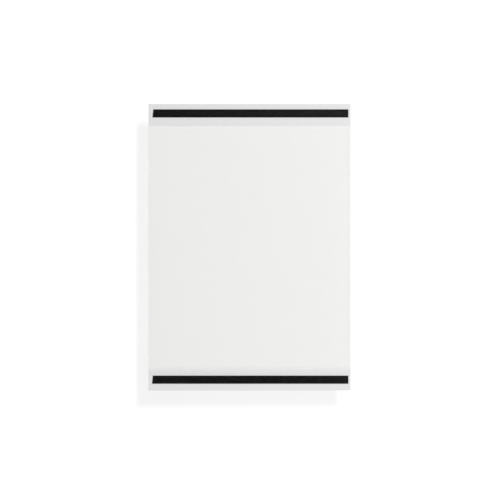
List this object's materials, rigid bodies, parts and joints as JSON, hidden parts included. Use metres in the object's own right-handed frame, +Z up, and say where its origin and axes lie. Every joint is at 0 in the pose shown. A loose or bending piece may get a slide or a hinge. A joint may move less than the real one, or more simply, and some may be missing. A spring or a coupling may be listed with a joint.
{
  "type": "magnetic document pocket",
  "caption": "Flat clear film pocket, open at the top for an upright A4 sheet, with black flexible magnet strips across the back that hold it on a steel surface.",
  "frame": {"origin": "on the bare rear face of the top magnet strip, at the strip's mid height and on the pocket's centre line", "axes": "+Z up along the pocket's height, +X to the right seen from the front, +Y out of the back towards the steel surface; the front faces -Y"},
  "size_m": [0.235, 0.0022, 0.333],
  "materials": {
    "clear_film": "clear, smooth, very slightly grey film",
    "hazy_film": "clear film with a fine low glare matt face",
    "weld_seam": "fused film, faintly ribbed",
    "magnet_rubber": "satin black flexible magnet with fine streaks along its length",
    "clear_tape": "clear acrylic adhesive"
  },
  "bodies": {
    "root": {"rear_sheet": "clear_film", "front_sheet": "hazy_film", "left_weld": "weld_seam", "right_weld": "weld_seam", "bottom_weld": "weld_seam", "top_magnet_strip": "magnet_rubber", "bottom_magnet_strip": "magnet_rubber", "top_strip_tape": "clear_tape", "bottom_strip_tape": "clear_tape"}
  },
  "joints": []
}
